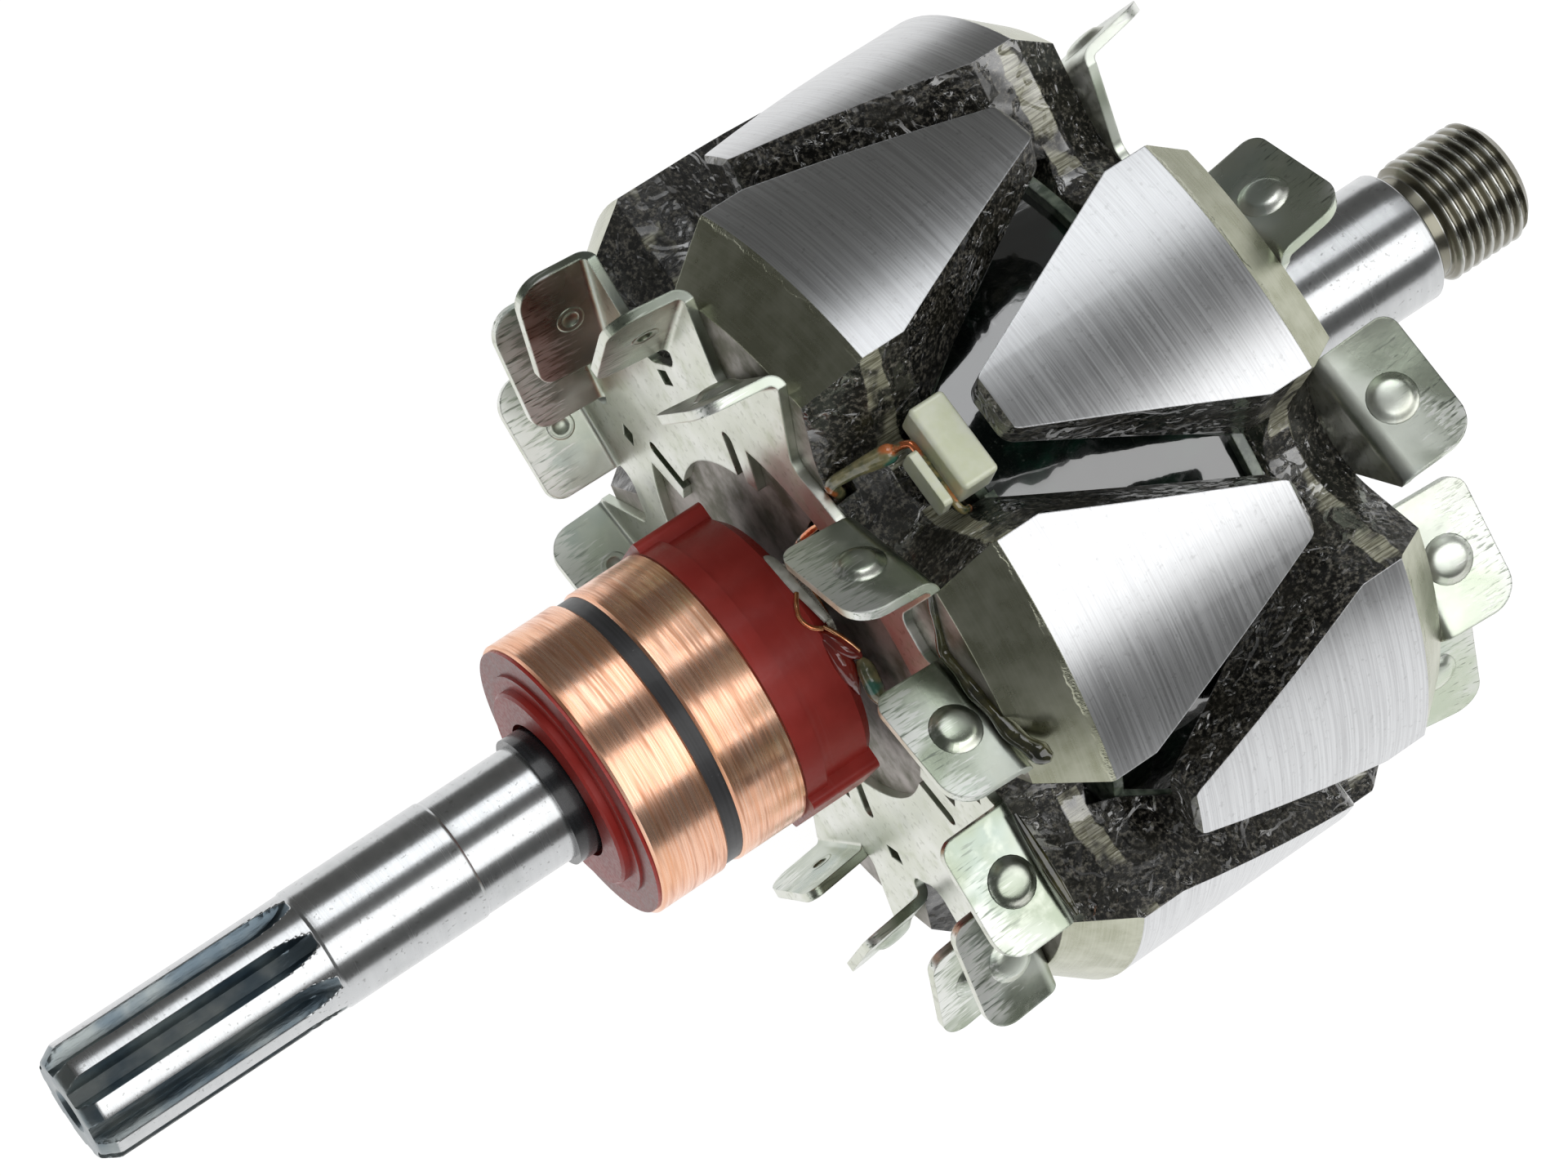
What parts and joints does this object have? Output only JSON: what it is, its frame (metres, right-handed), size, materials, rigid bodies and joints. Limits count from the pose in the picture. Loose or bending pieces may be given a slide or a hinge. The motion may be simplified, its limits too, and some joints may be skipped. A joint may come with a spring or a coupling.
{
  "type": "alternator rotor",
  "caption": "Claw-pole alternator rotor on a splined shaft, with copper slip rings at the rear, a folded sheet fan on each pole face and a threaded drive end.",
  "frame": {"origin": "middle of the drive-end seat, on the shaft's axis", "axes": "+X along the shaft towards the threaded drive end; +Z towards the side the picture shows; +Y completes the frame"},
  "size_m": [0.2012, 0.105, 0.105],
  "materials": {
    "shaft_steel": "ground",
    "collar_steel": "turned",
    "pole_steel": "turned outside, dark varnish between the claws",
    "core_steel": "turned",
    "fan_zinc": "zinc plated sheet",
    "ring_copper": "copper, polished by the brushes",
    "moulding_red": "semi-gloss dark red moulding",
    "spacer_black": "black band",
    "sleeve_black": "black insulating tube",
    "former_nylon": "cream nylon",
    "winding_copper": "enamelled copper",
    "wrap_varnish": "dark green-black varnish",
    "insulating_paper": "pressed paper",
    "lead_copper": "enamelled copper wire",
    "lead_sleeving": "varnished olive sleeving",
    "terminal_tin": "tinned",
    "seal_resin": "glossy dark red resin"
  },
  "bodies": {
    "root": {"shaft": "shaft_steel", "shaft_sleeve": "sleeve_black", "slip_ring_moulding": "moulding_red", "slip_ring_outer": "ring_copper", "slip_ring_inner": "ring_copper", "ring_spacer": "spacer_black", "rear_fan": "fan_zinc", "front_fan": "fan_zinc", "rear_pole": "pole_steel", "front_pole": "pole_steel", "bobbin": "former_nylon", "coil_wrap": "wrap_varnish", "field_winding": "winding_copper", "pole_core": "core_steel", "rear_insulator": "insulating_paper", "front_insulator": "insulating_paper", "lead_start": "lead_copper", "lead_start_sleeve": "lead_sleeving", "start_terminal": "terminal_tin", "start_seal": "seal_resin", "lead_end": "lead_copper", "lead_end_sleeve": "lead_sleeving", "end_terminal": "terminal_tin", "end_seal": "seal_resin", "drive_end_collar": "collar_steel"}
  },
  "joints": []
}
